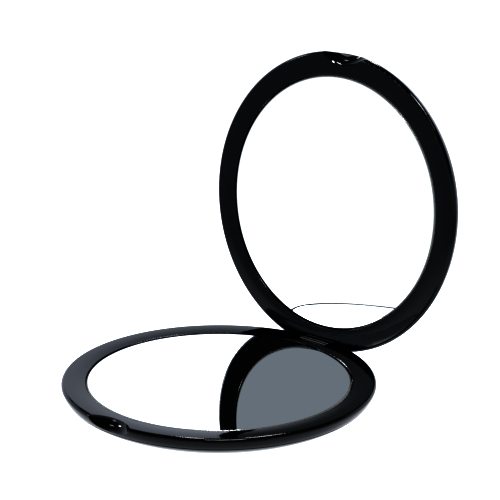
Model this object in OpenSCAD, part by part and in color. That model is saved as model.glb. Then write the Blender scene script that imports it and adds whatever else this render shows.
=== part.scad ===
// Round compact mirror: two flat halves on one hinge, each with a glass mirror let into its land.
// The lower half lies on the origin plane, its front to -Y and its hinge to +Y. The lid stands open.

/* [Body] */
// Diameter of the closed compact
body_d = 70; // [64:0.5:84]
// Thickness of each half
half_t = 6; // [5.6:0.1:7]
// Radius of the bulge round the side
side_r = 4.4; // [4:0.1:4.8]
// Distance from the outline in to the flat outer face
flat_inset = 9; // [7:0.5:12]
// Rounding between the land and the side
edge_r = 0.7; // [0.3:0.05:1]
// Fall of the crowned land from its outer edge to the mirror
land_drop = 0.3; // [0.1:0.02:0.4]
// Gap between the two lands when shut
closed_gap = 0.2; // [0.1:0.05:0.4]

/* [Covers] */
// Wall of the outer dish
cover_wall = 1.2; // [1:0.05:1.4]
// Depth of the seam below the land
seam_depth = 2.7; // [2.6:0.05:3]
// Half the width of the groove along the seam
seam_groove = 0.12; // [0.05:0.01:0.2]
// Number of posts round the middle one
post_count = 6; // [3:1:8]
// Diameter of each post
post_d = 3; // [2:0.1:5]
// Diameter of the circle of posts
post_circle_d = 34; // [24:0.5:44]

/* [Mirrors] */
// Width of the rim round the mirror
rim_w = 5.4; // [5.2:0.1:8]
// Gap round the glass
glass_gap = 0.15; // [0.05:0.05:0.3]
// Thickness of the glass
glass_t = 1.2; // [1:0.1:1.4]
// Ground edge of the glass
glass_bevel = 0.3; // [0.1:0.05:0.5]
// Depth of the glass below the land's inner edge
glass_recess = 0.1; // [0.05:0.05:0.3]
// Thickness of the foam tape
tape_t = 0.4; // [0.2:0.05:0.6]
// Distance from the edge of the glass to the tape
tape_inset = 2.5; // [1:0.1:8]
// Thickness of the floor under the tape
seat_floor = 1.1; // [0.8:0.05:1.2]
// Rounding of the land at the recess
lip_r = 0.2; // [0.1:0.05:0.25]

/* [Thumb scoops] */
// Width of the scoop along the edge
scoop_w = 12.8; // [9:0.1:14]
// How far the scoop reaches in over the land
scoop_reach = 3; // [2:0.1:3.4]
// Depth of the scoop below the land
scoop_depth = 2; // [1.2:0.05:2.2]
// Radius of the scoop's hollow wall
scoop_round = 2.6; // [2.4:0.1:3.2]

/* [Hinge] */
// Distance from the outline in to the pin
hinge_inset = 1.6; // [1.5:0.05:1.7]
// Depth of the pin below the land
pin_depth = 1.1; // [1:0.05:1.2]
// Width of the lid's tab
tab_w = 8.4; // [6:0.1:9]
// Radius of the tab's knuckle
knuckle_r = 1; // [0.9:0.05:1]
// Gap between the tab and each side of its notch
tab_gap = 0.15; // [0.1:0.05:0.3]
// Gap round a knuckle
knuckle_clear = 0.15; // [0.1:0.05:0.2]
// How far the notch reaches in over the land
notch_reach = 4; // [3.6:0.05:4.4]
// Width of the lugs that hold the pin
lug_w = 2.6; // [2.2:0.1:3.4]
// Depth of the heel cut below the pin
heel_depth = 0.9; // [0.7:0.05:1]
// Diameter of the pin
pin_d = 1; // [0.8:0.05:1.1]
// Length of the pin
pin_l = 14; // [12:0.1:14.2]
// Distance from the middle of the hinge to the pin's blind end
pin_blind = 6.4; // [6:0.1:6.8]
// Gap round the pin in the lid's knuckle
pin_running_gap = 0.04; // [0.02:0.01:0.08]
// Gap round the pin where it is held
pin_seat_gap = 0.01; // [0:0.005:0.02]
// Angle of the open lid
open_angle = 96; // [0:1:110]

/* [Magnets] */
// Diameter of each magnet
magnet_d = 3; // [2:0.1:3.2]
// Thickness of each magnet
magnet_t = 1.5; // [1:0.1:1.5]
// Distance between the two magnets of a half
magnet_span = 19; // [17:0.5:30]
// Gap round a magnet
magnet_gap = 0.05; // [0.02:0.01:0.1]

/* [Hidden] */
$fn = 128;
plastic = "#0b0b0d";
silver = "#d8dde0";
foam = "#e9e6dc";
nickel = "#b9bcc0";
steel = "#9da1a6";

// How far cutters run past what they cut
overrun = 2;
body_r = body_d / 2;
flat_r = body_r - flat_inset;
window_r = body_r - rim_w;
glass_r = window_r - glass_gap;

// The side is two tangent arcs: a small one round the widest point and a large one down to the flat face
side_x = body_r - side_r;
arc_dx = side_x - flat_r;
sole_r = (arc_dx * arc_dx + half_t * half_t - side_r * side_r) / (2 * (half_t - side_r));
arc_angle = atan2(sole_r - half_t, arc_dx);

// The land is one shallow arc, level where it meets the rounding to the side
edge_x = side_x + sqrt(pow(side_r - edge_r, 2) - edge_r * edge_r);
edge_lean = asin(edge_r / (side_r - edge_r));
land_w = edge_x - window_r;
land_r = (land_w * land_w + land_drop * land_drop) / (2 * land_drop);
// Centre of the rounding between land and recess, and how far it leans to the mirror
lip_x = window_r + lip_r;
lip_z = half_t - land_r + sqrt(pow(land_r - lip_r, 2) - pow(edge_x - lip_x, 2));
lip_lean = asin((edge_x - lip_x) / (land_r - lip_r));

// Heights in one half, from its outer face at zero to its land
seam_z = half_t - seam_depth;
glass_top = half_t - land_drop - glass_recess;
glass_bottom = glass_top - glass_t;
seat_z = glass_bottom - tape_t;
floor_z = seat_z - seat_floor;

// Radius of the outside, or of a surface a set distance inside it, at a height on the small arc
function side_at(z, inset = 0) =
    side_x + sqrt(pow(side_r - inset, 2) - pow(half_t - z, 2));
// The same on the large arc
function sole_at(z, inset = 0) =
    flat_r + sqrt(pow(sole_r - inset, 2) - pow(sole_r - z, 2));

// The frame's foot drops inside the cover's wall
spigot_gap = 0.2;
spigot_r = sole_at(floor_z, cover_wall) - spigot_gap;

// Hinge: the pin lies in the lower half. The lid's tab comes down to it through a notch in the land
pin_y = body_r - hinge_inset;
pin_z = half_t - pin_depth;
tab_z = half_t + closed_gap + pin_depth;
tab_half = tab_w / 2;
notch_half = tab_half + tab_gap;
notch_y = body_r - notch_reach;
notch_floor = pin_z - knuckle_r - knuckle_clear;
lug_end = notch_half + lug_w;
lug_r = pin_depth + closed_gap - knuckle_clear;
heel_floor = pin_z - heel_depth;
// How far behind the pin the notch starts to go right down to the seam
drop_back = 0.4;
drop_y = pin_y + drop_back;
// How far the tab's root reaches to the front and to the back of the pin
root_front = 0.9;
root_back = 0.6;

// Scoop: a round-edged puck whose rim makes the curve over the land. Its widest point is above the land
scoop_sagitta = scoop_reach - body_r + sqrt(body_r * body_r - scoop_w * scoop_w / 4);
puck_r = (scoop_w * scoop_w / 4 + scoop_sagitta * scoop_sagitta) / (2 * scoop_sagitta);
puck_y = body_r - scoop_reach + puck_r;
puck_lift = scoop_round - scoop_depth;
puck_core = puck_r - sqrt(scoop_round * scoop_round - puck_lift * puck_lift);

// Magnet pockets are blind holes from the seam
magnet_x = magnet_span / 2;
magnet_y = sqrt(pow((window_r + side_at(seam_z)) / 2, 2) - magnet_x * magnet_x);

// Section of a whole half, shrunk by inset: the x axis is the radius, the y axis the height
module half_section(inset = 0) {
    reach = sole_r + overrun;
    joint = [flat_r + reach * cos(arc_angle), sole_r - reach * sin(arc_angle)];
    translate([0, inset])
        square([flat_r, half_t - inset]);
    intersection() {
        translate([flat_r, sole_r])
            circle(r = sole_r - inset);
        polygon([[0, -overrun], [0, half_t], [side_x, half_t], joint, [joint[0], -overrun]]);
    }
    intersection() {
        translate([side_x, half_t])
            circle(r = side_r - inset);
        square([body_r, half_t]);
    }
}

// What the rounding takes off the corner between land and side
module edge_waste() {
    far = edge_r + overrun;
    translate([edge_x, half_t - edge_r])
        difference() {
            polygon([[0, 0], [0, far], [far, far], [far, -far * tan(edge_lean)]]);
            circle(r = edge_r);
        }
}

// Diamond that breaks both edges of the seam
module seam_waste() {
    translate([side_at(seam_z), seam_z])
        rotate(45)
            square(seam_groove * 2, center = true);
}

// Outer dish: the lower part of the section, hollowed to an even wall
module cover() {
    rotate_extrude() difference() {
        intersection() {
            half_section();
            square([body_r, seam_z]);
        }
        half_section(cover_wall);
        seam_waste();
    }
    post();
    for (i = [1 : post_count])
        rotate(i * 360 / post_count)
            translate([post_circle_d / 2, 0])
                post();
}

// Post from the cover's floor to the underside of the frame
module post() {
    translate([0, 0, cover_wall])
        cylinder(d = post_d, h = floor_z - cover_wall);
}

// Land, mirror seat and foot, before the scoop and the hinge
module frame_ring() {
    rotate_extrude() difference() {
        union() {
            intersection() {
                half_section();
                translate([0, seam_z])
                    square([body_r, half_t - seam_z]);
            }
            translate([0, floor_z])
                square([spigot_r, seam_z - floor_z]);
        }
        translate([0, seat_z])
            square([window_r, half_t]);
        land_waste();
        edge_waste();
        lip_waste();
        seam_waste();
    }
}

// What the crown takes off the flat top of the section
module land_waste() {
    difference() {
        translate([0, half_t - land_drop])
            square([edge_x, land_drop + overrun]);
        translate([edge_x, half_t - land_r])
            circle(r = land_r);
    }
}

// What the rounding takes off the corner between land and recess
module lip_waste() {
    far = lip_r + overrun;
    translate([lip_x, lip_z])
        difference() {
            polygon([[-far, 0], [0, 0], [-lip_r * tan(lip_lean), lip_r], [-far, lip_r]]);
            circle(r = lip_r);
        }
}

// Puck that cuts the thumb scoop
module scoop_waste() {
    translate([0, -puck_y, half_t + puck_lift])
        rotate_extrude() intersection() {
            union() {
                translate([puck_core, 0])
                    circle(r = scoop_round);
                translate([0, -scoop_round])
                    square([puck_core, scoop_round * 2]);
            }
            translate([0, -scoop_round])
                square([puck_core + scoop_round, scoop_round * 2]);
        }
}

// A bar along the pin's line, from one x to another
module along_pin(x0, x1, r) {
    translate([x0, pin_y, pin_z])
        rotate([0, 90, 0])
            cylinder(r = r, h = x1 - x0);
}

// The lid's tab in the half's own place: a knuckle above the land, and the root that carries it
module tab() {
    translate([-tab_half, pin_y, tab_z])
        rotate([0, 90, 0])
            cylinder(r = knuckle_r, h = tab_w);
    translate([-tab_half, pin_y - root_front, half_t - edge_r])
        cube([tab_w, root_front + root_back, tab_z - half_t + edge_r]);
}

// Notch for the tab. Its rear goes right through the wall, for the heel of the lid
module notch_waste() {
    low = seam_z - overrun;
    high = half_t + overrun;
    far = body_r + overrun;
    rotate([90, 0, 90])
        linear_extrude(height = notch_half * 2, center = true)
            polygon([[notch_y, notch_floor], [drop_y, notch_floor], [drop_y, low], [far, low], [far, high],
                     [notch_y, high]]);
}

// Rounds the backs of the two lugs about the pin, clear of the lid's land as it swings
module lug_waste() {
    difference() {
        translate([-lug_end, pin_y, heel_floor])
            cube([lug_end * 2, body_r, half_t]);
        along_pin(-lug_end - overrun, lug_end + overrun, lug_r);
    }
}

module magnet_place(side) {
    translate([side * magnet_x, -magnet_y, seam_z])
        children();
}

module pocket_wastes() {
    for (side = [-1, 1])
        magnet_place(side)
            translate([0, 0, -overrun])
                cylinder(r = magnet_d / 2 + magnet_gap, h = magnet_t + magnet_gap + overrun);
}

// Frame of the lower half, with the notch, the two lugs and the pin's seat
module lower_frame() {
    difference() {
        frame_ring();
        scoop_waste();
        lug_waste();
        notch_waste();
        pocket_wastes();
        along_pin(-pin_blind, body_r, pin_d / 2 + pin_seat_gap);
    }
}

// Frame of the lid, with the tab, which runs on the pin
module upper_frame() {
    difference() {
        union() {
            difference() {
                frame_ring();
                scoop_waste();
                pocket_wastes();
            }
            tab();
        }
        translate([-notch_half, pin_y, tab_z])
            rotate([0, 90, 0])
                cylinder(r = pin_d / 2 + pin_running_gap, h = notch_half * 2);
    }
}

module glass() {
    translate([0, 0, glass_bottom])
        cylinder(r = glass_r, h = glass_t - glass_bevel);
    translate([0, 0, glass_top - glass_bevel])
        cylinder(r1 = glass_r, r2 = glass_r - glass_bevel, h = glass_bevel);
}

module tape() {
    translate([0, 0, seat_z])
        cylinder(r = glass_r - tape_inset, h = tape_t);
}

module magnet(side) {
    magnet_place(side)
        cylinder(d = magnet_d, h = magnet_t);
}

// Turns a half over onto the other and swings it about the pin to the open angle
module as_lid() {
    translate([0, pin_y, pin_z])
        rotate([-open_angle, 0, 0])
            translate([0, -pin_y, half_t * 2 + closed_gap - pin_z])
                rotate([0, 180, 0])
                    children();
}

module base_cover() { color(plastic) cover(); }
module base_frame() { color(plastic) lower_frame(); }
module base_mirror() { color(silver) glass(); }
module base_mirror_tape() { color(foam) tape(); }
module base_magnet_left() { color(nickel) magnet(-1); }
module base_magnet_right() { color(nickel) magnet(1); }
module hinge_pin() { color(steel) along_pin(-pin_blind, pin_l - pin_blind, pin_d / 2); }
module lid_cover() { color(plastic) as_lid() cover(); }
module lid_frame() { color(plastic) as_lid() upper_frame(); }
module lid_mirror() { color(silver) as_lid() glass(); }
module lid_mirror_tape() { color(foam) as_lid() tape(); }
module lid_magnet_left() { color(nickel) as_lid() magnet(1); }
module lid_magnet_right() { color(nickel) as_lid() magnet(-1); }

base_cover();
base_frame();
base_mirror();
base_mirror_tape();
base_magnet_left();
base_magnet_right();
hinge_pin();
lid_cover();
lid_frame();
lid_mirror();
lid_mirror_tape();
lid_magnet_left();
lid_magnet_right();
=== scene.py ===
import math
import bpy
import numpy as np
from mathutils import Matrix, Vector

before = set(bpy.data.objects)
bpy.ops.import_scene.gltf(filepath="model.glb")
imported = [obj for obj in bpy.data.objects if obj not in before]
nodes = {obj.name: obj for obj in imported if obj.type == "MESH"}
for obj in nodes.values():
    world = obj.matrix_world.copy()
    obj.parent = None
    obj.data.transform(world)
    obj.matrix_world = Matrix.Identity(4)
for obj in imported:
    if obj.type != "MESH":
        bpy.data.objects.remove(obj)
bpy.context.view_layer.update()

MM = 0.001

# The four mouldings: a cover and a frame for each half, in ABS coloured black right through.
# The tools are polished to a mirror, so the skin comes out with a deep wet gloss. It keeps a slow
# waviness where the wall cooled, and pockets and fingers leave hairlines and a thin film on it.
PLASTIC_NODES = ("base_cover", "base_frame", "lid_cover", "lid_frame")
PLASTIC_BODY = "#050506"
PLASTIC_FILMED = "#08080a"
PLASTIC_IOR = 1.46
PLASTIC_ROUGHNESS = 0.045
FILM_ROUGHNESS = 0.085
FILM_WIDTH = 14 * MM
FILM_LEVELS = (0.42, 0.72)
WAVE_WIDTH = 9 * MM
WAVE_HEIGHT = 0.0016 * MM
# Real hairlines are finer. These are about as wide as a pixel, so that they show.
HAIRLINE_WIDTH = 0.25 * MM
HAIRLINE_STRETCH = 60
HAIRLINE_TURN = (0.4, 0.9, 0.7)
HAIRLINE_LEVELS = (0.66, 0.72)
HAIRLINE_HEIGHT = 0.0004 * MM


def linear(hex_colour):
    """sRGB hex to linear RGBA: c / 12.92 in the toe, ((c + 0.055) / 1.055) ^ 2.4 above it."""
    c = np.array([int(hex_colour[i:i + 2], 16) for i in (1, 3, 5)]) / 255
    return (*np.where(c <= 0.04045, c / 12.92, ((c + 0.055) / 1.055) ** 2.4), 1)


def add(tree, kind, links=(), **settings):
    """Adds one node. links: (input, socket) pairs. settings: properties, or values of inputs by name."""
    n = tree.nodes.new("ShaderNode" + kind)
    inputs = {}
    for key, value in settings.items():
        if hasattr(n, key):
            setattr(n, key, value)
        else:
            inputs[key.replace("_", " ")] = value
    for key, value in inputs.items():
        n.inputs[key].default_value = value
    for key, socket in links:
        tree.links.new(socket, n.inputs[key])
    return n


def new_material(name):
    """An empty node material: its tree, its Principled shader and its Object coordinates."""
    m = bpy.data.materials.new(name)
    m.use_nodes = True
    m.node_tree.nodes.clear()
    t = m.node_tree
    shader = add(t, "BsdfPrincipled")
    add(t, "OutputMaterial", [("Surface", shader.outputs["BSDF"])])
    place = add(t, "TexCoord").outputs["Object"]
    return m, t, shader, place


def gloss_black_abs():
    """Polished black ABS: a dielectric over a black body. The film is noise in the roughness and the colour,
    the waviness is slow noise in the bump, and the hairlines are cut where stretched noise is highest."""
    m, t, shader, place = new_material("gloss_black_abs")
    shader.inputs["IOR"].default_value = PLASTIC_IOR
    film = add(t, "TexNoise", [("Vector", place)], Scale=1 / FILM_WIDTH, Detail=4, Roughness=0.6)
    rough = add(t, "MapRange", [("Value", film.outputs["Fac"])],
                From_Min=FILM_LEVELS[0], From_Max=FILM_LEVELS[1],
                To_Min=PLASTIC_ROUGHNESS, To_Max=FILM_ROUGHNESS)
    t.links.new(rough.outputs["Result"], shader.inputs["Roughness"])
    grey = add(t, "MixRGB", [("Fac", film.outputs["Fac"])],
               Color1=linear(PLASTIC_BODY), Color2=linear(PLASTIC_FILMED))
    t.links.new(grey.outputs["Color"], shader.inputs["Base Color"])
    wave = add(t, "TexNoise", [("Vector", place)], Scale=1 / WAVE_WIDTH, Detail=1, Roughness=0.4)
    low = add(t, "Bump", [("Height", wave.outputs["Fac"])], Strength=1, Distance=WAVE_HEIGHT)
    turned = add(t, "Mapping", [("Vector", place)],
                 Rotation=HAIRLINE_TURN, Scale=(1, HAIRLINE_STRETCH, HAIRLINE_STRETCH))
    line = add(t, "TexNoise", [("Vector", turned.outputs["Vector"])],
               Scale=1 / (HAIRLINE_WIDTH * HAIRLINE_STRETCH), Detail=2, Roughness=0.5)
    cut = add(t, "MapRange", [("Value", line.outputs["Fac"])],
              From_Min=HAIRLINE_LEVELS[0], From_Max=HAIRLINE_LEVELS[1])
    fine = add(t, "Bump", [("Height", cut.outputs["Result"]), ("Normal", low.outputs["Normal"])],
               invert=True, Strength=1, Distance=HAIRLINE_HEIGHT)
    t.links.new(fine.outputs["Normal"], shader.inputs["Normal"])
    return m


def paint(material, names):
    """Puts one material in every slot of the named CAD nodes."""
    for name in names:
        for s in nodes[name].material_slots:
            s.material = material


paint(gloss_black_abs(), PLASTIC_NODES)

# The two mirrors: discs of 1.2 mm float glass, silvered and painted on the back, with a ground arris.
# The silver gives the picture, a shade cooler and dimmer than the room. It stops short of the edge,
# so the arris and the rim of the glass show as a thin grey line.
GLASS_NODES = ("base_mirror", "lid_mirror")
SILVER = "#f2f4f4"
SILVER_EDGE = "#878d8c"
GROUND_GLASS = "#83807a"
GROUND_ROUGHNESS = 0.3
ARRIS_WIDTH = 0.3 * MM
ARRIS_BLUR = 0.015 * MM
MARGIN_WIDTH = 0.12 * MM
SMEAR_WIDTH = 9 * MM
SMEAR_LEVELS = (0.55, 0.8)
SMEAR_ROUGHNESS = 0.012
# The real grit is finer. This is drawn coarser, so that a close view shows it.
GRIT_WIDTH = 0.15 * MM
GRIT_HEIGHT = 0.01 * MM
GRIT_STRENGTH = 0.1


def disc_frame(name):
    """A flat disc's centre, radius and turn. Its axis is the direction in which its points spread least."""
    o = nodes[name]
    co = np.empty(len(o.data.vertices) * 3)
    o.data.vertices.foreach_get("co", co)
    co = co.reshape(-1, 3)
    centre = (co.min(0) + co.max(0)) / 2
    axis = np.linalg.svd(co - centre, full_matrices=False)[2][2]
    turn = Vector(axis).to_track_quat("Z", "Y").to_euler()
    flat = (co - centre) - np.outer((co - centre) @ axis, axis)
    return Vector(centre), float(np.linalg.norm(flat, axis=1).max()), turn


def silvered_glass(name):
    """Silvered glass: a metal mirror inside and a grey ground edge outside, split by the distance r from
    the disc's axis. r is the length of the place in the disc's own frame with its height left out."""
    centre, radius, turn = disc_frame(name)
    m, t, shader, place = new_material("silvered_float_glass_" + name.split("_")[0])
    local = add(t, "Mapping", [("Vector", place)], vector_type="TEXTURE", Location=centre, Rotation=turn)
    flat = add(t, "VectorMath", [(0, local.outputs["Vector"])], operation="MULTIPLY")
    flat.inputs[1].default_value = (1, 1, 0)
    r = add(t, "VectorMath", [(0, flat.outputs["Vector"])], operation="LENGTH").outputs["Value"]
    arris = radius - ARRIS_WIDTH
    ground = add(t, "MapRange", [("Value", r)], From_Min=arris - ARRIS_BLUR, From_Max=arris + ARRIS_BLUR)
    margin = add(t, "MapRange", [("Value", r)],
                 From_Min=arris - MARGIN_WIDTH * 1.5, From_Max=arris - MARGIN_WIDTH * 0.5)
    silver = add(t, "MixRGB", [("Fac", margin.outputs["Result"])],
                 Color1=linear(SILVER), Color2=linear(SILVER_EDGE))
    tint = add(t, "MixRGB", [("Fac", ground.outputs["Result"]), ("Color1", silver.outputs["Color"])],
               Color2=linear(GROUND_GLASS))
    t.links.new(tint.outputs["Color"], shader.inputs["Base Color"])
    metal = add(t, "Math", [(1, ground.outputs["Result"])], operation="SUBTRACT")
    metal.inputs[0].default_value = 1
    t.links.new(metal.outputs["Value"], shader.inputs["Metallic"])
    smear = add(t, "TexNoise", [("Vector", place)], Scale=1 / SMEAR_WIDTH, Detail=5, Roughness=0.65)
    film = add(t, "MapRange", [("Value", smear.outputs["Fac"])],
               From_Min=SMEAR_LEVELS[0], From_Max=SMEAR_LEVELS[1], To_Max=SMEAR_ROUGHNESS)
    rough = add(t, "MapRange", [("Value", ground.outputs["Result"]), ("To Min", film.outputs["Result"])],
                To_Max=GROUND_ROUGHNESS)
    t.links.new(rough.outputs["Result"], shader.inputs["Roughness"])
    grit = add(t, "TexNoise", [("Vector", place)], Scale=1 / GRIT_WIDTH, Detail=2)
    depth = add(t, "Math", [(0, grit.outputs["Fac"]), (1, ground.outputs["Result"])], operation="MULTIPLY")
    bump = add(t, "Bump", [("Height", depth.outputs["Value"])],
               Strength=GRIT_STRENGTH, Distance=GRIT_HEIGHT)
    t.links.new(bump.outputs["Normal"], shader.inputs["Normal"])
    return m


for glass in GLASS_NODES:
    paint(silvered_glass(glass), [glass])

# The foam pads that hold the glass: white closed-cell polyethylene tape, die-cut round.
# The cut edge shows the cells, and the faces have the fine matt skin that the liner leaves.
TAPE_NODES = ("base_mirror_tape", "lid_mirror_tape")
FOAM = "#e6e3da"
# The darker tone is painted shade for the low grooves between the cells, not a colour of the foam.
FOAM_PAINTED_SHADE = "#cbc7bb"
FOAM_ROUGHNESS = 0.85
FOAM_IOR = 1.5
CELL_WIDTH = 0.3 * MM
CELL_DEPTH = 0.05 * MM
CELL_STRENGTH = 0.5


def closed_cell_foam():
    """Foam: Voronoi cells for the bubbles, raised by the distance to their walls. The colour also darkens
    towards the walls, a painted shade in the grooves between the cells.
    """
    m, t, shader, place = new_material("closed_cell_foam")
    shader.inputs["Roughness"].default_value = FOAM_ROUGHNESS
    shader.inputs["IOR"].default_value = FOAM_IOR
    cell = add(t, "TexVoronoi", [("Vector", place)], Scale=1 / CELL_WIDTH)
    # Painted shade: the colour darkens towards the cell walls, where the bump makes low grooves.
    mix = add(t, "MixRGB", [("Fac", cell.outputs["Distance"])],
              Color1=linear(FOAM), Color2=linear(FOAM_PAINTED_SHADE))
    t.links.new(mix.outputs["Color"], shader.inputs["Base Color"])
    bump = add(t, "Bump", [("Height", cell.outputs["Distance"])],
               invert=True, Strength=CELL_STRENGTH, Distance=CELL_DEPTH)
    t.links.new(bump.outputs["Normal"], shader.inputs["Normal"])
    return m


paint(closed_cell_foam(), TAPE_NODES)

# The magnets that keep the halves shut: four neodymium discs, barrel plated with bright nickel.
# Tumbling rounds the plate over faint dents, so the shine is mottled.
MAGNET_NODES = ("base_magnet_left", "base_magnet_right", "lid_magnet_left", "lid_magnet_right")
NICKEL = "#cdcac2"
NICKEL_DULL = "#b3afa6"
NICKEL_ROUGHNESS = (0.12, 0.3)
DENT_WIDTH = 0.5 * MM
DENT_DEPTH = 0.01 * MM
DENT_STRENGTH = 0.4


def barrel_plated_nickel():
    """Bright nickel: a warm grey metal whose noise shifts its roughness and dents it."""
    m, t, shader, place = new_material("barrel_plated_nickel")
    shader.inputs["Metallic"].default_value = 1
    dent = add(t, "TexNoise", [("Vector", place)], Scale=1 / DENT_WIDTH, Detail=3)
    mix = add(t, "MixRGB", [("Fac", dent.outputs["Fac"])],
              Color1=linear(NICKEL), Color2=linear(NICKEL_DULL))
    t.links.new(mix.outputs["Color"], shader.inputs["Base Color"])
    rough = add(t, "MapRange", [("Value", dent.outputs["Fac"])],
                To_Min=NICKEL_ROUGHNESS[0], To_Max=NICKEL_ROUGHNESS[1])
    t.links.new(rough.outputs["Result"], shader.inputs["Roughness"])
    bump = add(t, "Bump", [("Height", dent.outputs["Fac"])], Strength=DENT_STRENGTH, Distance=DENT_DEPTH)
    t.links.new(bump.outputs["Normal"], shader.inputs["Normal"])
    return m


paint(barrel_plated_nickel(), MAGNET_NODES)

# The hinge pin: 1 mm of drawn steel wire, cut to length and pushed into the two lugs of the lower half.
# The die draws fine lines along it.
PIN_NODES = ("hinge_pin",)
STEEL = "#b7b9bb"
STEEL_DARK = "#8b8e91"
STEEL_ROUGHNESS = (0.18, 0.4)
DRAW_WIDTH = 0.06 * MM
DRAW_STRETCH = 40
DRAW_DEPTH = 0.004 * MM
DRAW_STRENGTH = 0.4


def drawn_steel():
    """Drawn wire: noise stretched along the pin's length, X, in the colour, roughness and bump."""
    m, t, shader, place = new_material("drawn_steel")
    shader.inputs["Metallic"].default_value = 1
    along = add(t, "Mapping", [("Vector", place)], Scale=(1 / DRAW_STRETCH, 1, 1))
    line = add(t, "TexNoise", [("Vector", along.outputs["Vector"])], Scale=1 / DRAW_WIDTH, Detail=3)
    mix = add(t, "MixRGB", [("Fac", line.outputs["Fac"])],
              Color1=linear(STEEL), Color2=linear(STEEL_DARK))
    t.links.new(mix.outputs["Color"], shader.inputs["Base Color"])
    rough = add(t, "MapRange", [("Value", line.outputs["Fac"])],
                To_Min=STEEL_ROUGHNESS[0], To_Max=STEEL_ROUGHNESS[1])
    t.links.new(rough.outputs["Result"], shader.inputs["Roughness"])
    bump = add(t, "Bump", [("Height", line.outputs["Fac"])], Strength=DRAW_STRENGTH, Distance=DRAW_DEPTH)
    t.links.new(bump.outputs["Normal"], shader.inputs["Normal"])
    return m


paint(drawn_steel(), PIN_NODES)

# The floor: a round sheet of white acrylic on a light table. The lamp under it is brightest in the middle,
# below the object, so that no shadow shows and the object's sides pick up the glow. Its face lies a hair
# under the resting face, so the two don't share a plane.
FLOOR_RADIUS = 3.0
FLOOR_LEVEL = -0.02 * MM
FLOOR_SPOKES = 96
FLOOR_BODY = "#000000"
FLOOR_WHITE = "#f0f4fa"
FLOOR_ROUGHNESS = 0.9
GLOW_MIDDLE = 1.6
GLOW_OUTSIDE = 0.97
GLOW_FADE = (60 * MM, 250 * MM)


def glowing_floor():
    """A flat disc on one ring of points: x = r cos a, y = r sin a, z = FLOOR_LEVEL.
    Its glow falls with the distance from its middle."""
    a = np.linspace(0, 2 * np.pi, FLOOR_SPOKES, endpoint=False)
    ring = np.stack([FLOOR_RADIUS * np.cos(a), FLOOR_RADIUS * np.sin(a), 0 * a + FLOOR_LEVEL], 1)
    mesh = bpy.data.meshes.new("floor")
    mesh.from_pydata(ring.tolist(), [], [list(range(FLOOR_SPOKES))])
    o = bpy.data.objects.new("floor", mesh)
    bpy.context.scene.collection.objects.link(o)
    m, t, shader, place = new_material("white_acrylic_sheet")
    r = add(t, "VectorMath", [(0, place)], operation="LENGTH").outputs["Value"]
    glow = add(t, "MapRange", [("Value", r)], interpolation_type="SMOOTHSTEP",
               From_Min=GLOW_FADE[0], From_Max=GLOW_FADE[1], To_Min=GLOW_MIDDLE, To_Max=GLOW_OUTSIDE)
    t.links.new(glow.outputs["Result"], shader.inputs["Emission Strength"])
    shader.inputs["Base Color"].default_value = linear(FLOOR_BODY)
    shader.inputs["Roughness"].default_value = FLOOR_ROUGHNESS
    shader.inputs["Specular IOR Level"].default_value = 0
    shader.inputs["Emission Color"].default_value = linear(FLOOR_WHITE)
    o.data.materials.append(m)
    return o


glowing_floor()

# The camera: a long lens from the front right, a little above the object, as the product is seen.
# The angles are in degrees and the lens in millimetres. The aim is where the middle of the picture lies
# beside the origin.
CAMERA_AZIMUTH = 41.30
CAMERA_ELEVATION = 17.73
CAMERA_ROLL = 0.26
CAMERA_DISTANCE = 448.1 * MM
CAMERA_CLIP = 10 * MM
AIM_RIGHT = 6.75 * MM
AIM_UP = 34.03 * MM
LENS = 144.88

azimuth, elevation, roll = (math.radians(v) for v in (CAMERA_AZIMUTH, CAMERA_ELEVATION, CAMERA_ROLL))
back = Vector((math.sin(azimuth) * math.cos(elevation), -math.cos(azimuth) * math.cos(elevation),
               math.sin(elevation)))
level_right = Vector((math.cos(azimuth), math.sin(azimuth), 0))
level_up = back.cross(level_right)
right = level_right * math.cos(roll) + level_up * math.sin(roll)
up = level_up * math.cos(roll) - level_right * math.sin(roll)
camera = bpy.data.objects.new("camera", bpy.data.cameras.new("camera"))
bpy.context.scene.collection.objects.link(camera)
camera.data.lens = LENS
camera.data.clip_start = CAMERA_CLIP
turn = Matrix((right, up, back)).transposed().to_4x4()
camera.matrix_world = Matrix.Translation(back * CAMERA_DISTANCE + level_right * AIM_RIGHT
                                         + level_up * AIM_UP) @ turn
bpy.context.scene.camera = camera

# The light: a white backdrop behind the object and a white wall round the front, both fading into a
# grey ceiling. Each fades over its own range of heights, in degrees above the floor. The front turns
# into the backdrop while the cosine of the swing from straight behind passes through BACK_SPREAD.
BACK_WHITE = (1.18, 1.25, 1.4, 1)
FRONT_WHITE = (1.08, 1.15, 1.27, 1)
GREY_CEILING = (0.32, 0.342, 0.376, 1)
BACK_FADE = (20, 52)
FRONT_FADE = (12, 29)
BACK_SPREAD = (0.1, 0.6)
straight_behind = -Vector((back.x, back.y, 0)).normalized()


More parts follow.
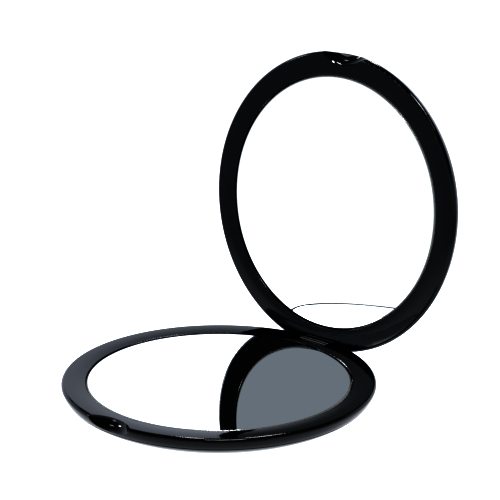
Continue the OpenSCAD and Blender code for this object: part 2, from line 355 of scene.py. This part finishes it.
def studio_world():
    """Light by direction: white low down and grey above, by the sine of the height, and mixed from
    front to back by the cosine of the swing."""
    w = bpy.data.worlds.new("studio")
    w.use_nodes = True
    t = w.node_tree
    t.nodes.clear()
    way = add(t, "TexCoord").outputs["Generated"]
    height = add(t, "SeparateXYZ", [("Vector", way)]).outputs["Z"]
    facing = add(t, "VectorMath", [(0, way)], operation="DOT_PRODUCT")
    facing.inputs[1].default_value = straight_behind
    behind = add(t, "MapRange", [("Value", facing.outputs["Value"])], interpolation_type="SMOOTHSTEP",
                 From_Min=BACK_SPREAD[0], From_Max=BACK_SPREAD[1])
    walls = []
    for white, fade in ((FRONT_WHITE, FRONT_FADE), (BACK_WHITE, BACK_FADE)):
        low, high = (math.sin(math.radians(v)) for v in fade)
        dim = add(t, "MapRange", [("Value", height)], interpolation_type="SMOOTHSTEP",
                  From_Min=low, From_Max=high)
        wall = add(t, "MixRGB", [("Fac", dim.outputs["Result"])], Color1=white, Color2=GREY_CEILING)
        walls.append(wall.outputs["Color"])
    room = add(t, "MixRGB", [("Fac", behind.outputs["Result"]), ("Color1", walls[0]), ("Color2", walls[1])])
    sky = add(t, "Background", [("Color", room.outputs["Color"])])
    add(t, "OutputWorld", [("Surface", sky.outputs["Background"])])
    bpy.context.scene.world = w


studio_world()

# Two narrow strip lights hang high behind the lid and two panels over the front. Three panels at the
# left give the glint beside the lower glass, the sheen of the hinge's knuckle, and the white rim in the
# lid's mirror. Each row gives a name, the swing from straight behind (right is plus) and the height
# above the floor in degrees, then width and height in metres, and radiance.
STUDIO_LIGHTS = (("strip_left", -6.7, 52, 0.05, 0.4, 30),
                 ("strip_right", 9.3, 52, 0.095, 0.4, 30),
                 ("panel_left", -73, 26, 0.16, 0.2, 16),
                 ("panel_hinge", -76, 48.5, 0.24, 0.2, 6),
                 ("panel_low", -102.2, 16.5, 0.24, 0.34, 3.6),
                 ("panel_over", 171, 68, 0.5, 0.25, 24),
                 ("panel_front", 166, 55, 0.35, 0.3, 5))
LIGHT_DISTANCE = 1.5
for name, swing, height, wide, tall, radiance in STUDIO_LIGHTS:
    flat = straight_behind * math.cos(math.radians(swing)) + level_right * math.sin(math.radians(swing))
    way = flat * math.cos(math.radians(height)) + Vector((0, 0, math.sin(math.radians(height))))
    lamp = bpy.data.lights.new(name, "AREA")
    lamp.shape = "RECTANGLE"
    lamp.size = wide
    lamp.size_y = tall
    lamp.energy = radiance * math.pi * wide * tall
    o = bpy.data.objects.new(name, lamp)
    bpy.context.scene.collection.objects.link(o)
    o.location = way * LIGHT_DISTANCE
    o.rotation_euler = way.to_track_quat("Z", "Y").to_euler()

# The print: contrasty, as a cut-out product photo is. Up to PRINT_WHITE a tone is the square of the
# light's share of it, and light beyond that is white.
PRINT_WHITE = 0.71
PRINT_STEPS = 16
print_view = bpy.context.scene.view_settings
print_view.view_transform = "Standard"
print_view.use_curve_mapping = True
tones = print_view.curve_mapping.curves[3].points
for i in range(1, PRINT_STEPS):
    tones.new(PRINT_WHITE * i / PRINT_STEPS, (i / PRINT_STEPS) ** 2)
tones[-1].location = (PRINT_WHITE, 1)
print_view.curve_mapping.update()
